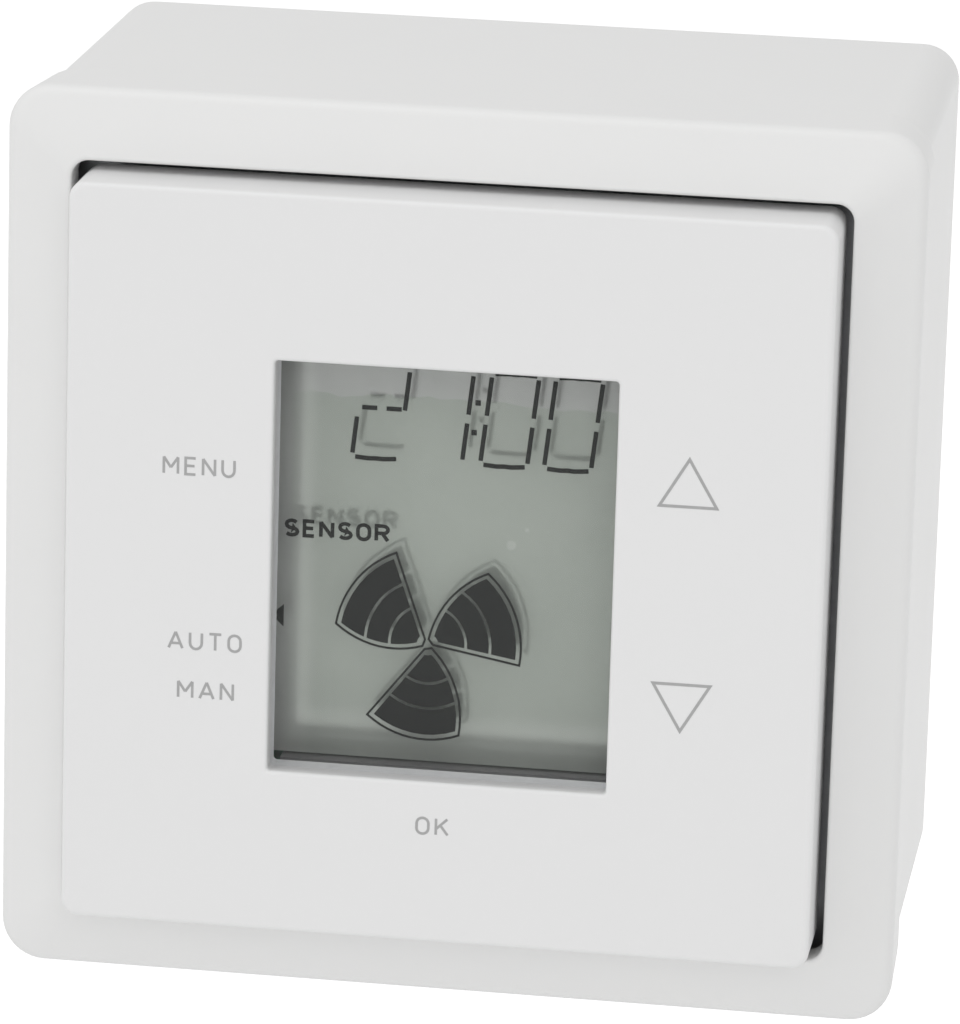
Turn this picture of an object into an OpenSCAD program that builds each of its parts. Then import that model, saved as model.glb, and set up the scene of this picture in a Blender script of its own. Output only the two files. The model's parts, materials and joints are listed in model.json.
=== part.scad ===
// Surface-mounted room fan controller with a clock display and a tilting front plate.
// The part stands on a wall: the wall is the plane Y = 0, the front faces -Y and +Z is up.
// Every module draws in wall axes (x right, y up, z out from the wall) inside on_wall().

/* [Back box] */
// Outside width and height of the square box that is screwed to the wall
box_w = 82.2; // [76:0.2:100]
// Depth of the box from the wall to its front rim
box_depth = 38; // [34:0.5:50]
// Thickness of the box's side walls
box_wall = 2.5; // [1.6:0.1:3.5]
// Thickness of the box's rear wall
box_floor = 2.5; // [1.6:0.1:3.5]
// Radius of the box's four upright edges
box_corner_r = 4; // [2:0.5:6]
// Distance between the two wall screws, one above the other
wall_screw_pitch = 60; // [56:1:64]
// Width of each wall screw slot
wall_slot_w = 4.4; // [3.6:0.1:5.2]
// End-to-end length of each wall screw slot
wall_slot_length = 9; // [6:0.5:12]
// Radius of the cable entry in the rear wall
cable_entry_r = 8; // [6:0.5:9]
// Height of the cable entry's centre above the middle of the box
cable_entry_up = 15; // [12:0.5:16]
// Distance between the two posts that carry the support plate
post_pitch = 60; // [58:0.5:62]
// Radius of each post
post_r = 3.6; // [3:0.1:4]

/* [Decor frame] */
// Distance that the frame stands out past the box's sides
frame_overhang = 0.9; // [0.4:0.1:2]
// Height of the frame's side band in front of the box's rim
frame_band = 9.3; // [8.5:0.1:12]
// Rise of the sloping faces from the outer edge to the opening
frame_rise = 2.2; // [1:0.1:3]
// Width of each sloping face, seen from the front
frame_face = 6.4; // [5.4:0.1:7.6]
// Radius of the opening's corners
opening_r = 1.6; // [1:0.1:3]
// Wall thickness of the frame
frame_wall = 1.8; // [1.4:0.1:2]
// Depth of the lip behind the opening's edge
frame_lip = 3.5; // [2:0.1:4]
// Radius of the frame's outer corners
frame_corner_r = 4; // [3:0.5:6]

/* [Front plate] */
// Gap all round the front plate
cover_gap = 0.85; // [0.8:0.05:1.2]
// Distance that the front plate stands out past the frame's opening
cover_proud = 5.1; // [4.5:0.1:6]
// Thickness of the front plate
cover_t = 2; // [1.6:0.1:2.2]
// Thickness of the skirt around the front plate
skirt_t = 1.6; // [1.2:0.1:1.8]
// Length of the skirt from the front face back
skirt_depth = 8.6; // [8:0.1:9]
// Chamfer along the front edges
cover_chamfer = 0.45; // [0.2:0.05:0.8]
// Radius of the front plate's corners
cover_corner_r = 1.5; // [1:0.1:2.5]
// Width of the display window
window_w = 31.3; // [25:0.1:32]
// Height of the plate above and below the display window
window_band = 15.4; // [15.3:0.05:19]
// Height of the window's centre above the middle of the plate
window_up = 0; // [-0.3:0.1:0.5]

/* [Support plate] */
// Width of the box's rim that the steel support plate lies on
plate_bearing = 1; // [0.6:0.1:1.3]
// Thickness of the support plate
plate_t = 1.2; // [0.8:0.1:1.5]

/* [Device housing] */
// Gap between the housing and the box's posts
post_gap = 0.9; // [0.5:0.1:1.2]
// Height of the housing behind the support plate
housing_h = 61; // [58:0.5:62]
// Space left behind the tallest component in the housing
component_gap = 1.3; // [0.5:0.1:3]
// Wall thickness of the housing
housing_wall = 1.6; // [1.2:0.1:2]
// Number of wires that the terminal block takes
terminal_count = 5; // [3:1:5]
// Distance from one terminal to the next
terminal_pitch = 6.6; // [6:0.1:6.8]

/* [Boards and display] */
// Thickness of both circuit boards
board_t = 1.6; // [1.2:0.1:1.6]
// Thickness of each sheet of display glass
glass_t = 1.1; // [0.7:0.1:1.2]
// Width of the display glass hidden on each side of the window
glass_side_margin = 1.95; // [1.8:0.05:2.3]
// Height of the display glass hidden above and below the window
glass_end_margin = 2.05; // [2:0.05:2.4]
// Thickness of the backlight's light guide
guide_t = 2.4; // [2:0.1:2.6]

/* [Tilt bearing] */
// Radius of the four pivot pins
pivot_r = 1; // [0.8:0.05:1.2]
// Radial clearance of a pin in the piece that turns on it
running_gap = 0.05; // [0.02:0.01:0.1]
// Radial clearance of a pin in the piece that holds it
press_gap = 0.01; // [0:0.005:0.02]
// Thickness of the tilt ring, front to back
ring_t = 3.2; // [3:0.1:3.4]
// Width of the tilt ring's bars
ring_bar = 2.2; // [1.8:0.1:2.4]

/* [Clearances] */
// Clearance between pieces that are fixed to each other
fit_gap = 0.2; // [0.1:0.05:0.3]
// Clearance all round a piece that moves
move_gap = 0.8; // [0.6:0.1:0.9]

/* [Hidden] */
$fn = 64;
eps = 0.01;
past = 1;

// Depths out from the wall
plate_z = box_depth;
chassis_z = plate_z + plate_t;
frame_edge_z = box_depth + frame_band;
opening_z = frame_edge_z + frame_rise;
front_z = opening_z + cover_proud;
cover_back_z = front_z - cover_t;

// Back box
box_inside = box_w - 2 * box_wall;
box_inner_r = 2.5;
post_bore_depth = 16;
post_web_t = 2;

// Widths that follow from the box's width
frame_w = box_w + 2 * frame_overhang;
opening_w = frame_w - 2 * frame_face;
cover_w = opening_w - 2 * cover_gap;
plate_w = box_inside + 2 * plate_bearing;
plate_corner_r = 3;
window_h = cover_w - 2 * window_band;
glass_w = window_w + 2 * glass_side_margin;
glass_h = window_h + 2 * glass_end_margin;

// Screws
m3_r = 1.5;
m3_head_r = 2.9;
m3_head_t = 1.7;
m2_r = 1;
m2_head_r = 1.9;
m2_head_t = 1.1;
driver_slot_w = 0.8;
plate_screw_length = 14;
housing_screw_length = 12;
board_screw_length = 3;

// Snap hooks of the frame, two along each side, and their slots in the support plate
hook_from_corner = 11.6;
hook_w = 6;
hook_t = 1.2;
barb_t = 0.8;
barb_h = 1.2;
barb_gap = 0.2;
flex_gap = 0.6;
hook_at = opening_w / 2 - hook_from_corner;
hook_out = box_inside / 2 - barb_gap - barb_t - hook_t / 2;
hook_slot_t = hook_t + 2 * barb_gap + flex_gap;

// Chassis
chassis_t = 1.5;
chassis_inset = 2.6;
chassis_w = opening_w - 2 * chassis_inset;
chassis_corner_r = 3;
chassis_hole_w = 31;
chassis_hole_h = 40;
chassis_hole_r = 2;
board_rest = 1.5;
board_z = chassis_z + chassis_t + board_rest;
board_w = chassis_w - 1;
board_h = chassis_w - 0.2;
board_screw_inset = 3.2;
board_screw_at = board_w / 2 - board_screw_inset;
board_boss_r = 2.4;
housing_w = post_pitch - 2 * post_r - 2 * post_gap;
housing_corner_r = 3;
housing_inner_r = 1.5;
housing_screw_x = housing_w / 2 - 5;
housing_screw_y = housing_h / 2 - 4.7;

// Components on the power board: [x, y] of each centre, then its sizes
transformer_at = [-10.5, 8];
core_w = 24;
core_h = 12;
core_t = 14;
core_limb = 4;
coil_t = 7.6;
coil_wall = 3.7;
relay_at = [17, 8];
relay_size = [10, 19, 12.5];
film_at = [-12, -8];
film_size = [17, 6, 11];
smoothing_at = [9.5, -8.8];
smoothing_r = 4;
smoothing_pitch = 9;
smoothing_t = 11.5;
varistor_at = [-13.5, -15];
varistor_r = 4.5;
varistor_t = 3.4;
fuse_at = [5.5, -15.6];
fuse_r = 2.2;
fuse_length = 20;
fuse_cap = 5;
fuse_cap_t = 0.2;
fuse_tube_t = 0.6;
choke_at = [-8, 23.2];
choke_in_r = 2.6;
choke_out_r = 4.3;
choke_t = 5;
choke_wire = 0.7;
choke_lift = 1.5;
triac_at = [7, 24.4];
triac_size = [10, 4.2, 9];
triac_lift = 3;
sink_at = [7, 27.5];
sink_size = [18, 1.4, 13];

// Power board, with its components on the side that faces the wall
power_w = housing_w - 2 * housing_wall - 2 * fit_gap;
power_h = housing_h - 2 * housing_wall - 2 * fit_gap;
solder_space = 3.4;
lead_gap = 0.1;
power_z = plate_z - solder_space - board_t;
tallest = max(core_t, relay_size[2], film_size[2], smoothing_t, sink_size[2]);
housing_depth = solder_space + board_t + lead_gap + tallest + component_gap + housing_wall;
housing_z = plate_z - housing_depth;
power_top_z = power_z + board_t;
boss_r = 3;
fuse_z = power_z - 4;

// Terminal block
terminal_w = terminal_count * terminal_pitch;
terminal_h = 10;
terminal_recess = 0.3;
terminal_z = housing_z + terminal_recess;
terminal_t = power_z - terminal_z - lead_gap;
terminal_y = -(power_h / 2 - terminal_h / 2 - 0.2);
terminal_screw_z = terminal_z + 5.5;
clamp_w = 4.4;
clamp_h = 5.2;
clamp_t = 5;
wire_r = 1.6;
wire_depth = 12;
terminal_screw_r = 1.2;
terminal_head_r = 1.8;

// Display stack, from the control board forwards
board_top_z = board_z + board_t;
guide_lift = 0.3;
guide_z = board_top_z + guide_lift;
reflector_t = 0.2;
reflector_z = guide_z + guide_t;
rear_glass_z = reflector_z + reflector_t;
front_glass_z = rear_glass_z + glass_t;
polariser_t = 0.2;
polariser_z = front_glass_z + glass_t;
display_top_z = polariser_z + polariser_t;
strip_w = 1.2;
strip_y = glass_h / 2 - strip_w / 2 - 0.1;
rear_glass_h = 2 * strip_y - strip_w - 0.6;
led_w = 3;
led_h = 1.5;
led_t = 1.5;
led_x = 8;
guide_h = rear_glass_h - 2 * led_h - 0.8;
holder_wall = 1;
holder_lip = 0.8;
holder_w = glass_w + 2 * holder_wall + 2 * fit_gap;
holder_h = glass_h + 2 * holder_wall + 2 * fit_gap;
polariser_w = glass_w - 2 * holder_lip;
polariser_h = glass_h - 2 * holder_lip;
holder_lip_z = polariser_z + 0.1;
holder_lip_t = 0.5;
holder_corner_r = 1;

// Tilt bearing
pivot_z = display_top_z - 1.2;
ring_z = pivot_z - ring_t / 2;
ring_in_w = holder_w + 2 * move_gap;
ring_in_h = holder_h + 2 * move_gap;
ring_out_w = ring_in_w + 2 * ring_bar;
ring_out_h = ring_in_h + 2 * ring_bar;
lug_gap = 0.4;
lug_t = 2;
lug_w = 6;
lug_reach = 2;
pin_inset = 0.6;
pin_length = ring_bar + lug_gap + lug_t - pin_inset;
side_lug_x = ring_out_w / 2 + lug_gap;
end_lug_y = ring_out_h / 2 + lug_gap;

// Keys: where the plate presses the key mat
skirt_inside = cover_w - 2 * skirt_t;
key_side_x = skirt_inside / 2 - 3.65;
key_side_y = 10;
key_low_y = -(skirt_inside / 2 - 2.75);
KEYS = [
    [-key_side_x, key_side_y], [-key_side_x, -key_side_y], [0, key_low_y],
    [key_side_x, key_side_y], [key_side_x, -key_side_y]
];
mat_t = 0.8;
press_play = 0.05;
dome_r = 2.4;
dome_top_r = 1.8;
dome_h = 2.3;
dome_wall = 0.5;
pill_r = 1;
pill_t = 0.4;
plunger_r = 1.2;
dome_top_z = board_top_z + dome_h;

// Front plate, window pane and seal
skirt_z = front_z - skirt_depth;
skirt_inner_r = 0.6;
window_chamfer = 0.6;
seal_w = 2;
seal_gap = 1.1;
seal_z = holder_lip_z + holder_lip_t + seal_gap;
pane_recess = window_chamfer;
pane_t = 2.8;
pane_gap = 0.05;

// Header, button cell and the small parts of the control board
header_at = [0, 16];
header_pins = 8;
header_pitch = 2.5;
header_w = header_pins * header_pitch;
header_h = 2.5;
pin_w = 0.64;
cell_at = [-7, -7];
cell_r = 6.25;
cell_t = 2;
cell_step = 0.9;
cell_lift = 0.4;
chip_at = [0, -6];
chip_w = 10;
chip_t = 1.1;
crystal_at = [10.5, -6];
crystal_w = 5;
crystal_h = 3.2;
crystal_r = 0.8;
sensor_at = [-14, key_low_y + 0.2];
sensor_r = 1.1;
sensor_leg_r = 0.25;
sensor_leg_at = 0.6;
sensor_leg = 2.6;

function terminal_x(i) = (i - (terminal_count - 1) / 2) * terminal_pitch;
function pin_x(i) = (i - (header_pins - 1) / 2) * header_pitch;

// Draws in wall axes: x right, y up, z out from the wall.
module on_wall() {
    rotate([90, 0, 0]) children();
}

// A flat rectangle with round corners, centred on the origin.
module rounded_rect(w, h, r) {
    square([w - 2 * r, h], center = true);
    square([w, h - 2 * r], center = true);
    for (sx = [-1, 1], sy = [-1, 1])
        translate([sx * (w / 2 - r), sy * (h / 2 - r)]) circle(r);
}

// A slab with round corners that starts at depth z.
module slab(w, h, t, r, z) {
    translate([0, 0, z]) linear_extrude(t) rounded_rect(w, h, r);
}

// A sharp-cornered block, centred on (x, y), that starts at depth z.
module block(x, y, z, w, h, t) {
    translate([x - w / 2, y - h / 2, z]) cube([w, h, t]);
}

// A round bar along z that starts at depth z.
module bar(x, y, z, r, t) {
    translate([x, y, z]) cylinder(r = r, h = t);
}

// A round bar along x, from x onwards.
module bar_x(x, y, z, r, length) {
    translate([x, y, z]) rotate([0, 90, 0]) cylinder(r = r, h = length);
}

// A round bar along y, from y onwards.
module bar_y(x, y, z, r, length) {
    translate([x, y, z]) rotate([-90, 0, 0]) cylinder(r = r, h = length);
}

// A four-sided solid that is w by h at depth z and grows by 2 * spread over its thickness t.
module frustum(w, h, spread, t, z) {
    intersection() {
        taper(w, h + 2 * spread, spread, t, z);
        rotate(90) taper(h, w + 2 * spread, spread, t, z);
    }
}

// A bar of length l along y whose width w at depth z grows by 2 * spread over its thickness t.
module taper(w, l, spread, t, z) {
    a = w / 2;
    b = w / 2 + spread;
    translate([0, l / 2 + past, z]) rotate([90, 0, 0]) linear_extrude(l + 2 * past)
        polygon([[-a, 0], [a, 0], [b, t], [-b, t]]);
}

// Repeats its children at the four corners of a rectangle.
module at_corners(x, y) {
    for (sx = [-1, 1], sy = [-1, 1]) translate([sx * x, sy * y, 0]) children();
}

// Repeats its children on both sides of the middle.
module both_sides() {
    for (side = [0, 180]) rotate(side) children();
}

// A cheese-head screw whose head rests on depth z and whose shank runs towards the wall.
module screw(x, y, z, r, length, head_r, head_t) {
    translate([x, y, z]) difference() {
        union() {
            cylinder(r = head_r, h = head_t);
            translate([0, 0, -length]) cylinder(r = r, h = length + eps);
        }
        translate([-head_r - past, -driver_slot_w / 2, head_t / 2])
            cube([2 * (head_r + past), driver_slot_w, head_t]);
    }
}

// Back box: five walls, two posts with screw holes, two wall slots and the cable entry.
module back_box() {
    on_wall() color("whitesmoke") difference() {
        union() {
            difference() {
                slab(box_w, box_w, box_depth, box_corner_r, 0);
                slab(box_inside, box_inside, box_depth, box_inner_r, box_floor);
            }
            both_sides() box_post();
        }
        both_sides()
            bar(post_pitch / 2, 0, box_depth - post_bore_depth, m3_r + running_gap,
                post_bore_depth + past);
        both_sides() wall_slot();
        bar(0, cable_entry_up, -past, cable_entry_r, box_floor + 2 * past);
    }
}

// One post of the box, with the web that ties it to the side wall.
module box_post() {
    post_z = box_floor - eps;
    web_w = (box_inside - post_pitch) / 2 + eps;
    bar(post_pitch / 2, 0, post_z, post_r, box_depth - post_z);
    block(post_pitch / 2 + web_w / 2, 0, post_z, web_w, post_web_t, box_depth - post_z);
}

// An upright slot for the upper wall screw.
module wall_slot() {
    reach = (wall_slot_length - wall_slot_w) / 2;
    slot_t = box_floor + 2 * past;
    for (end = [-1, 1]) bar(0, wall_screw_pitch / 2 + end * reach, -past, wall_slot_w / 2, slot_t);
    block(0, wall_screw_pitch / 2, -past, wall_slot_w, 2 * reach, slot_t);
}

// Support plate: a steel ring that lies on the box's rim.
module support_plate() {
    on_wall() color("silver") difference() {
        slab(plate_w, plate_w, plate_t, plate_corner_r, plate_z);
        slab(chassis_hole_w, chassis_hole_h, plate_t + 2 * past, chassis_hole_r, plate_z - past);
        both_sides() bar(post_pitch / 2, 0, plate_z - past, m3_r + fit_gap, plate_t + 2 * past);
        at_corners(housing_screw_x, housing_screw_y)
            bar(0, 0, plate_z - past, m3_r + fit_gap, plate_t + 2 * past);
        at_hooks() block(0, hook_out + barb_gap, plate_z - past, hook_w + 4 * fit_gap, hook_slot_t,
            plate_t + 2 * past);
    }
}

// Repeats its children at the frame's eight snap hooks.
module at_hooks() {
    for (side = [0:90:270], s = [-1, 1]) rotate(side) translate([s * hook_at, 0, 0]) children();
}

// Two screws that hold the support plate on the box's posts.
module plate_screws() {
    on_wall() color("silver") both_sides()
        screw(post_pitch / 2, 0, chassis_z, m3_r, plate_screw_length, m3_head_r, m3_head_t);
}

// Decor frame: a side band, four sloping faces, a lip round the opening and eight snap hooks.
module decor_frame() {
    lip_w = opening_w + 2 * frame_wall;
    on_wall() color("white") difference() {
        union() {
            difference() {
                frame_form(frame_w, frame_corner_r, box_depth, frame_edge_z, opening_z);
                frame_form(frame_w - 2 * frame_wall, frame_corner_r - frame_wall,
                    box_depth - past, frame_edge_z - frame_wall, opening_z - frame_wall);
            }
            slab(lip_w, lip_w, frame_lip - frame_wall / 2, opening_r + frame_wall,
                opening_z - frame_lip);
            at_hooks() frame_hook();
        }
        slab(opening_w, opening_w, opening_z, opening_r, box_depth - past);
    }
}

// A square block with round upright edges whose four front faces rise towards the opening.
module frame_form(w, r, low_z, edge_z, top_z) {
    rise = top_z - edge_z;
    slope = (w - opening_w) / 2;
    intersection() {
        slab(w, w, top_z - low_z, r, low_z);
        union() {
            block(0, 0, low_z - past, 2 * w, 2 * w, edge_z - low_z + past);
            translate([0, 0, 2 * edge_z]) mirror([0, 0, 1])
                frustum(opening_w, opening_w, slope, rise, edge_z - rise);
        }
    }
}

// One snap hook, a tab with a barb behind the support plate.
module frame_hook() {
    tip_z = plate_z - barb_gap - barb_h;
    root_z = frame_edge_z + frame_rise * (frame_w / 2 - hook_out) / frame_face - frame_wall / 2;
    block(0, hook_out, tip_z, hook_w, hook_t, root_z - tip_z);
    block(0, hook_out + (hook_t + barb_t) / 2 - eps, tip_z, hook_w, barb_t, barb_h);
}

// Device housing: a shell behind the support plate, open at the front, cut for the terminals.
module device_housing() {
    inside_w = housing_w - 2 * housing_wall;
    inside_h = housing_h - 2 * housing_wall;
    on_wall() color("dimgray") difference() {
        union() {
            difference() {
                slab(housing_w, housing_h, housing_depth, housing_corner_r, housing_z);
                slab(inside_w, inside_h, housing_depth, housing_inner_r, housing_z + housing_wall);
            }
            at_corners(housing_screw_x, housing_screw_y)
                bar(0, 0, housing_z + eps, boss_r, housing_depth - eps);
        }
        at_corners(housing_screw_x, housing_screw_y)
            bar(0, 0, plate_z - housing_screw_length, m3_r + running_gap, housing_screw_length + past);
        block(0, terminal_y, housing_z - past, terminal_w + 2 * fit_gap, terminal_h + 2 * fit_gap,
            housing_wall + 2 * past);
        for (i = [0 : terminal_count - 1])
            bar_y(terminal_x(i), -housing_h / 2 - past, terminal_screw_z, terminal_head_r + 0.4,
                housing_wall + 2 * past);
    }
}

// Chassis: the plate behind the control board, with the lugs that carry the tilt ring.
module chassis() {
    lug_top_z = pivot_z + lug_reach;
    on_wall() color("gainsboro") difference() {
        union() {
            slab(chassis_w, chassis_w, chassis_t, chassis_corner_r, chassis_z);
            at_corners(board_screw_at, board_screw_at)
                bar(0, 0, chassis_z + eps, board_boss_r, board_z - chassis_z - eps);
            both_sides() block(side_lug_x + lug_t / 2, 0, chassis_z + eps, lug_t, lug_w,
                lug_top_z - chassis_z);
        }
        slab(chassis_hole_w, chassis_hole_h, chassis_t + 2 * past, chassis_hole_r, chassis_z - past);
        both_sides() bar(post_pitch / 2, 0, chassis_z - past, m3_head_r + 0.5, chassis_t + 2 * past);
        at_corners(housing_screw_x, housing_screw_y)
            bar(0, 0, chassis_z - past, m3_r + fit_gap, chassis_t + 2 * past);
        at_corners(board_screw_at, board_screw_at)
            bar(0, 0, chassis_z - past, m2_r + running_gap, board_rest + chassis_t + 2 * past);
        both_sides() bar_x(side_lug_x - past, 0, pivot_z, pivot_r + press_gap, lug_t + 2 * past);
    }
}

// Four screws through the chassis and the support plate into the housing's bosses.
module housing_screws() {
    length = housing_screw_length + plate_t + chassis_t - past;
    head_space = board_rest - fit_gap;
    on_wall() color("silver") at_corners(housing_screw_x, housing_screw_y)
        screw(0, 0, chassis_z + chassis_t, m3_r, length, m3_head_r, head_space);
}

// Power board, notched at the corners for the housing's bosses.
module power_board() {
    notch = 2 * (boss_r + fit_gap);
    reach = 6;
    on_wall() color("darkgreen") difference() {
        block(0, 0, power_z, power_w, power_h, board_t);
        at_corners(housing_screw_x + reach / 2, housing_screw_y + reach / 2)
            block(0, 0, power_z - past, notch + reach, notch + reach, board_t + 2 * past);
    }
}

// Terminal block, with a wire hole and a screw hole for each wire.
module terminal_block() {
    on_wall() color("whitesmoke") difference() {
        block(0, terminal_y, terminal_z, terminal_w, terminal_h, terminal_t);
        for (i = [0 : terminal_count - 1]) {
            bar(terminal_x(i), terminal_y, terminal_z - past, wire_r + 0.3, wire_depth + past);
            block(terminal_x(i), terminal_y, terminal_screw_z - clamp_t / 2 - fit_gap,
                clamp_w + 2 * fit_gap, clamp_h + 2 * fit_gap, clamp_t + 2 * fit_gap);
            bar_y(terminal_x(i), terminal_y - terminal_h / 2 - past, terminal_screw_z,
                terminal_head_r + fit_gap, terminal_h / 2);
        }
    }
}

// One metal cage for each wire, with a hole for the wire and a hole for its screw.
module terminal_clamps() {
    on_wall() color("silver") for (i = [0 : terminal_count - 1]) difference() {
        block(terminal_x(i), terminal_y, terminal_screw_z - clamp_t / 2, clamp_w, clamp_h, clamp_t);
        bar(terminal_x(i), terminal_y, terminal_screw_z - clamp_t, wire_r, 2 * clamp_t);
        bar_y(terminal_x(i), terminal_y - clamp_h, terminal_screw_z,
            terminal_screw_r + running_gap, clamp_h);
    }
}

// One screw for each clamp, driven from below.
module terminal_screws() {
    head_t = terminal_h / 2 - clamp_h / 2 - 0.8;
    on_wall() color("silver") for (i = [0 : terminal_count - 1])
        translate([terminal_x(i), terminal_y - clamp_h / 2 - lead_gap, terminal_screw_z])
            rotate([90, 0, 0]) screw(0, 0, 0, terminal_screw_r, 1.6, terminal_head_r, head_t);
}

// Glass tube of the fuse, between its caps.
module fuse_tube() {
    on_wall() color("lightcyan") difference() {
        bar_x(fuse_at[0] - fuse_length / 2 + fuse_cap, fuse_at[1], fuse_z, fuse_r - fuse_cap_t,
            fuse_length - 2 * fuse_cap);
        bar_x(fuse_at[0] - fuse_length, fuse_at[1], fuse_z, fuse_r - fuse_cap_t - fuse_tube_t,
            2 * fuse_length);
    }
}

// Metal caps of the fuse, each with the foot that is soldered to the board.
module fuse_caps() {
    foot_w = 1.2;
    on_wall() color("silver") for (s = [-1, 1]) {
        cap_x = fuse_at[0] + s * (fuse_length - fuse_cap) / 2;
        union() {
            bar_x(cap_x - fuse_cap / 2, fuse_at[1], fuse_z, fuse_r, fuse_cap);
            block(cap_x, fuse_at[1], fuse_z, foot_w, 2 * foot_w, power_z - fuse_z);
        }
    }
}

// Laminated core of the mains transformer, with a window on each side of its middle limb.
module transformer_core() {
    window_w = core_w / 2 - 2 * core_limb;
    x = transformer_at[0];
    y = transformer_at[1];
    core_z = power_z - lead_gap - core_t;
    on_wall() color("slategray") difference() {
        block(x, y, core_z, core_w, core_h, core_t);
        for (s = [-1, 1])
            block(x + s * (core_limb + window_w / 2), y, core_z + core_t / 2 - coil_t / 2 - fit_gap,
                window_w, core_h + 2 * past, coil_t + 2 * fit_gap);
    }
}

// Winding round the core's middle limb.
module transformer_winding() {
    x = transformer_at[0];
    y = transformer_at[1];
    inner_w = 2 * core_limb + 2 * lead_gap;
    inner_h = core_h + 2 * lead_gap;
    coil_z = power_z - lead_gap - core_t / 2 - coil_t / 2;
    on_wall() color("goldenrod") difference() {
        block(x, y, coil_z, inner_w + 2 * coil_wall, inner_h + 2 * coil_wall, coil_t);
        block(x, y, coil_z - past, inner_w, inner_h, coil_t + 2 * past);
    }
}

// Relay that switches the fan.
module relay() {
    on_wall() color("royalblue") translate([relay_at[0], relay_at[1], 0])
        slab(relay_size[0], relay_size[1], relay_size[2], 0.8, power_z - lead_gap - relay_size[2]);
}

// Film capacitor of the interference filter.
module film_capacitor() {
    on_wall() color("khaki") translate([film_at[0], film_at[1], 0])
        slab(film_size[0], film_size[1], film_size[2], 0.6, power_z - lead_gap - film_size[2]);
}

// Two smoothing capacitors, each a can with a groove near its foot.
module smoothing_capacitors() {
    can_z = power_z - lead_gap - smoothing_t;
    on_wall() color("midnightblue") for (s = [-1, 1])
        translate([smoothing_at[0] + s * smoothing_pitch / 2, smoothing_at[1], can_z])
            rotate_extrude() polygon([
                [0, 0], [smoothing_r, 0], [smoothing_r, smoothing_t - 2.4],
                [smoothing_r - 0.4, smoothing_t - 2], [smoothing_r - 0.4, smoothing_t - 1.6],
                [smoothing_r, smoothing_t - 1.2], [smoothing_r, smoothing_t], [0, smoothing_t]
            ]);
}

// Varistor disc, standing on its edge.
module varistor() {
    on_wall() color("teal")
        bar_y(varistor_at[0], varistor_at[1] - varistor_t / 2, power_z - varistor_r - 0.6,
            varistor_r, varistor_t);
}

// Ferrite ring of the filter choke.
module choke_core() {
    on_wall() color("darkolivegreen")
        translate([choke_at[0], choke_at[1], power_z - choke_lift - choke_t]) rotate_extrude()
            translate([choke_in_r, 0]) square([choke_out_r - choke_in_r, choke_t]);
}

// Two half windings round the ferrite ring, with their ends apart.
module choke_winding() {
    arc = 130;
    clear = 0.05;
    on_wall() color("peru")
        translate([choke_at[0], choke_at[1], power_z - choke_lift - choke_t]) for (side = [0, 180])
            rotate(side - arc / 2) rotate_extrude(angle = arc) difference() {
                translate([choke_in_r - choke_wire, -choke_wire])
                    square([choke_out_r - choke_in_r + 2 * choke_wire, choke_t + 2 * choke_wire]);
                translate([choke_in_r - clear, -clear])
                    square([choke_out_r - choke_in_r + 2 * clear, choke_t + 2 * clear]);
            }
}

// Triac that sets the fan's speed.
module triac() {
    on_wall() color("black") block(triac_at[0], triac_at[1], power_z - triac_lift - triac_size[2],
        triac_size[0], triac_size[1], triac_size[2]);
}

// Aluminium plate behind the triac.
module heat_sink() {
    on_wall() color("gray") block(sink_at[0], sink_at[1], power_z - lead_gap - sink_size[2],
        sink_size[0], sink_size[1], sink_size[2]);
}

// Pin header on the power board.
module board_header() {
    pin_top_z = board_z - 0.6;
    on_wall() color("black") union() {
        block(header_at[0], header_at[1], power_top_z, header_w, header_h, header_h);
        for (i = [0 : header_pins - 1])
            block(header_at[0] + pin_x(i), header_at[1], power_top_z + past, pin_w, pin_w,
                pin_top_z - power_top_z - past);
    }
}

// Socket on the back of the control board that takes the header's pins.
module header_socket() {
    socket_z = power_top_z + header_h + 0.3;
    on_wall() color("black") difference() {
        block(header_at[0], header_at[1], socket_z, header_w, header_h, board_z - socket_z);
        for (i = [0 : header_pins - 1])
            block(header_at[0] + pin_x(i), header_at[1], socket_z - past,
                pin_w + 2 * lead_gap, pin_w + 2 * lead_gap, board_z - socket_z + past - 0.3);
    }
}

// Control board, cut for the chassis lugs.
module control_board() {
    on_wall() color("seagreen") difference() {
        block(0, 0, board_z, board_w, board_h, board_t);
        both_sides() block(side_lug_x + lug_t / 2, 0, board_z - past, lug_t + 2 * lug_gap,
            lug_w + 2 * lug_gap, board_t + 2 * past);
        at_corners(board_screw_at, board_screw_at)
            bar(0, 0, board_z - past, m2_r + fit_gap, board_t + 2 * past);
    }
}

// Four screws that hold the control board on the chassis.
module board_screws() {
    on_wall() color("silver") at_corners(board_screw_at, board_screw_at)
        screw(0, 0, board_top_z, m2_r, board_screw_length, m2_head_r, m2_head_t);
}

// Microcontroller on the back of the control board, with four rows of legs.
module microcontroller() {
    legs = 8;
    leg_w = 0.4;
    leg_reach = 1;
    on_wall() color("black") translate([chip_at[0], chip_at[1], 0]) union() {
        block(0, 0, board_z - chip_t, chip_w, chip_w, chip_t - lead_gap);
        for (side = [0:90:270], i = [0 : legs - 1]) rotate(side)
            block((i - (legs - 1) / 2) * 1, chip_w / 2 + leg_reach / 2 - eps,
                board_z - chip_t / 2, leg_w, leg_reach, chip_t / 2);
    }
}

// Crystal that keeps the clock's time.
module clock_crystal() {
    on_wall() color("silver") translate([crystal_at[0], crystal_at[1], 0])
        slab(crystal_w, crystal_h, chip_t, crystal_r, board_z - chip_t);
}

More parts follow.
